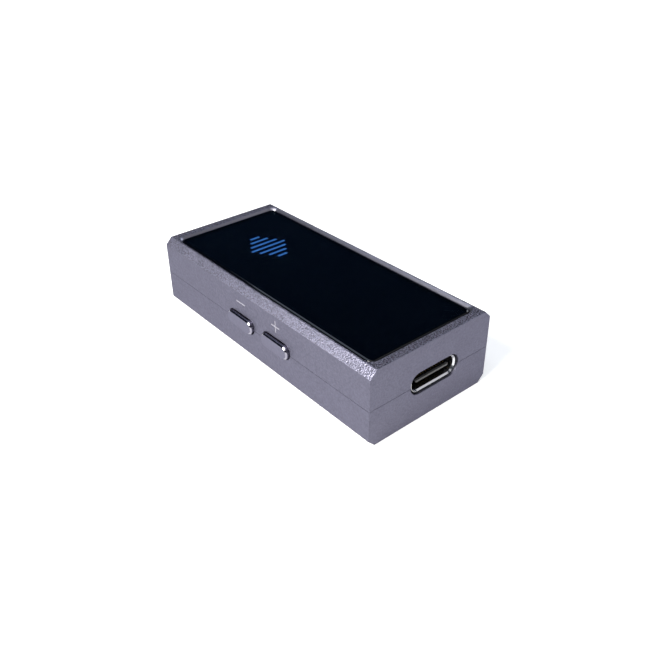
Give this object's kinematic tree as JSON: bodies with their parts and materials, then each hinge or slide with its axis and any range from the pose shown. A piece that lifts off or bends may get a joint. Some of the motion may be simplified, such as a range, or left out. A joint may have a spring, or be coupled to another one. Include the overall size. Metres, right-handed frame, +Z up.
{
  "type": "pocket USB audio converter with headphone jacks",
  "caption": "Slim two-shell aluminium USB-C audio converter with a glass top, side volume buttons and headphone jacks.",
  "frame": {"origin": "centre of the bottom face", "axes": "+X out of the USB-C end along the length, +Z up through the glass top; the buttons are on the -Y side"},
  "size_m": [0.0518, 0.0244, 0.0126],
  "materials": {
    "anodised_shell": "fine bead-blasted grey-violet anodising",
    "button_metal": "bead-blasted face with a polished, darker flank",
    "black_glass": "black-backed polished glass with a rounded edge",
    "tape": "thin foam adhesive",
    "black_film": "opaque printed film",
    "white_diffuser": "milky diffusing plastic",
    "amber_film": "polyimide flat cable",
    "green_board": "solder mask on glass fibre laminate",
    "screw_steel": "dark plated steel",
    "black_plastic": "moulded heat-resistant plastic",
    "gold_plate": "gold-plated brass",
    "socket_steel": "nickel-plated stainless steel",
    "chip_black": "moulded epoxy",
    "tantalum": "moulded yellow epoxy with a dark polarity stripe"
  },
  "bodies": {
    "case": {"upper_shell": "anodised_shell", "lower_shell": "anodised_shell", "case_screw_1": "screw_steel", "case_screw_2": "screw_steel", "case_screw_3": "screw_steel", "case_screw_4": "screw_steel", "board_screw_1": "screw_steel", "board_screw_2": "screw_steel", "board_screw_3": "screw_steel", "window_glass": "black_glass", "window_tape": "tape", "emblem_film": "black_film", "emblem_light_guide": "white_diffuser", "light_board": "green_board", "light_led_1": "white_diffuser", "light_led_2": "white_diffuser", "light_bracket": "black_plastic", "light_cable": "amber_film", "circuit_board": "green_board", "dac_chip": "chip_black", "usb_bridge_chip": "chip_black", "amplifier_chip_1": "chip_black", "amplifier_chip_2": "chip_black", "clock_crystal_1": "socket_steel", "clock_crystal_2": "socket_steel", "power_inductor": "chip_black", "power_chip": "chip_black", "tantalum_capacitor_1": "tantalum", "tantalum_capacitor_2": "tantalum", "tantalum_capacitor_3": "tantalum", "shield_can": "socket_steel", "usb_shell": "socket_steel", "usb_housing": "black_plastic", "usb_tongue": "black_plastic", "minus_switch_body": "black_plastic", "minus_switch_strap": "socket_steel", "plus_switch_body": "black_plastic", "plus_switch_strap": "socket_steel", "jack_4_4_housing": "black_plastic", "jack_4_4_collar": "gold_plate", "jack_4_4_contact_1": "gold_plate", "jack_4_4_contact_2": "gold_plate", "jack_4_4_contact_3": "gold_plate", "jack_3_5_housing": "black_plastic", "jack_3_5_collar": "socket_steel", "jack_3_5_contact_1": "gold_plate", "jack_3_5_contact_2": "gold_plate"},
    "minus_button": {"minus_button": "button_metal", "minus_switch_plunger": "white_diffuser"},
    "plus_button": {"plus_button": "button_metal", "plus_switch_plunger": "white_diffuser"}
  },
  "joints": [
    {"name": "minus_press", "type": "slide", "parent": "case", "child": "minus_button", "axis": [0, 1, 0], "range_m": [0, 0.0003], "stiffness_N_per_m": 600, "springref_m": -0.001},
    {"name": "plus_press", "type": "slide", "parent": "case", "child": "plus_button", "axis": [0, 1, 0], "range_m": [0, 0.0003], "stiffness_N_per_m": 600, "springref_m": -0.001}
  ]
}
